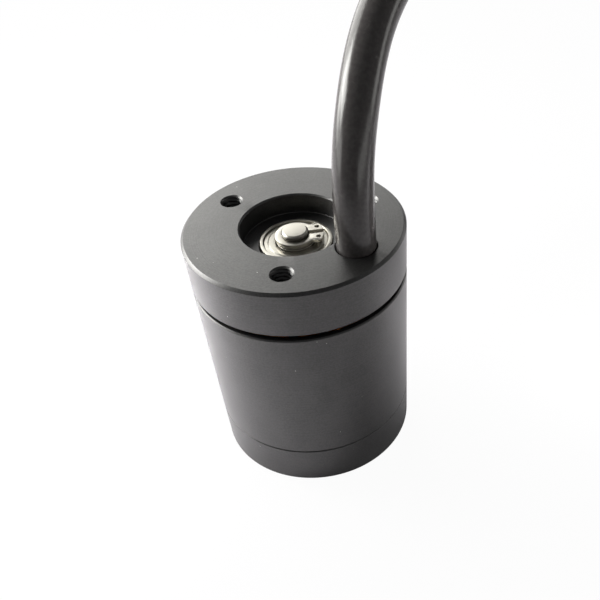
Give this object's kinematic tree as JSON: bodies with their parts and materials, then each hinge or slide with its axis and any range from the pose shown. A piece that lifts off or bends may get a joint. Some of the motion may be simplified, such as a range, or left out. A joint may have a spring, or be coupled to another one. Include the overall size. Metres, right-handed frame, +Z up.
{
  "type": "brushless outrunner motor",
  "caption": "Small waterproof brushless outrunner motor: round black bell turning under a fixed flange with tapped mounting holes, a bearing, a retaining clip and a thick cable.",
  "frame": {"origin": "centre of the motor's lowest face, the front face of the bell, on the surface it stands on; the free cable is left out of it", "axes": "+Z up along the shaft, from the bell's front face to the fixed flange's mounting face; the cable lies towards +X"},
  "size_m": [0.105, 0.047, 0.0578],
  "materials": {
    "black_anodised": "satin black anodised, turned",
    "bright_steel": "ground and polished bearing and shaft steel",
    "lamination": "stacked varnished sheet steel",
    "magnet_nickel": "sintered magnet, nickel plated",
    "zinc_steel": "zinc-plated steel tube",
    "copper_enamel": "enamelled copper wire",
    "green_insulator": "moulded or coated slot insulation",
    "seal_resin": "cast black resin",
    "cable_sheath": "glossy black sheath",
    "lead_insulation": "black core insulation",
    "shrink_sleeve": "black shrink sleeve",
    "gold_plating": "gold-plated brass",
    "tie_plastic": "black moulded tie"
  },
  "bodies": {
    "stator": {"base_housing": "black_anodised", "stator_core": "lamination", "insulator_upper": "green_insulator", "insulator_lower": "green_insulator", "winding_01": "copper_enamel", "winding_02": "copper_enamel", "winding_03": "copper_enamel", "winding_04": "copper_enamel", "winding_05": "copper_enamel", "winding_06": "copper_enamel", "winding_07": "copper_enamel", "winding_08": "copper_enamel", "winding_09": "copper_enamel", "winding_10": "copper_enamel", "winding_11": "copper_enamel", "winding_12": "copper_enamel", "winding_tail_1": "copper_enamel", "winding_tail_2": "copper_enamel", "winding_tail_3": "copper_enamel", "cable_seal": "seal_resin", "rear_outer_race": "bright_steel", "rear_shield": "bright_steel", "front_outer_race": "bright_steel", "front_shield": "bright_steel", "motor_cable": "cable_sheath", "cable_coil": "cable_sheath", "cable_tail": "cable_sheath", "coil_tie": "tie_plastic", "cable_sleeve": "shrink_sleeve", "core_lead_1": "lead_insulation", "core_lead_2": "lead_insulation", "core_lead_3": "lead_insulation", "bullet_plug_1": "gold_plating", "bullet_plug_2": "gold_plating", "bullet_plug_3": "gold_plating"},
    "rotor": {"bell_can": "black_anodised", "bell_end_cap": "black_anodised", "flux_ring": "zinc_steel", "magnet_01": "magnet_nickel", "magnet_02": "magnet_nickel", "magnet_03": "magnet_nickel", "magnet_04": "magnet_nickel", "magnet_05": "magnet_nickel", "magnet_06": "magnet_nickel", "magnet_07": "magnet_nickel", "magnet_08": "magnet_nickel", "magnet_09": "magnet_nickel", "magnet_10": "magnet_nickel", "magnet_11": "magnet_nickel", "magnet_12": "magnet_nickel", "magnet_13": "magnet_nickel", "magnet_14": "magnet_nickel", "motor_shaft": "bright_steel", "clip_shim": "bright_steel", "retaining_clip": "bright_steel", "rear_inner_race": "bright_steel", "front_inner_race": "bright_steel"},
    "rear_cage": {"rear_ball_cage": "bright_steel"},
    "front_cage": {"front_ball_cage": "bright_steel"}
  },
  "joints": [
    {"name": "rotor_spin", "type": "hinge", "parent": "stator", "child": "rotor", "pos_m": [0, 0, 0.0145], "axis": [0, 0, 1], "continuous": true},
    {"name": "rear_cage_spin", "type": "hinge", "parent": "stator", "child": "rear_cage", "pos_m": [0, 0, 0.0253], "axis": [0, 0, 1], "continuous": true},
    {"name": "front_cage_spin", "type": "hinge", "parent": "stator", "child": "front_cage", "pos_m": [0, 0, 0.0065], "axis": [0, 0, 1], "continuous": true}
  ],
  "couplings": [
    {"joint": "rear_cage_spin", "follows": "rotor_spin", "ratio": 0.3636},
    {"joint": "front_cage_spin", "follows": "rotor_spin", "ratio": 0.3636}
  ]
}
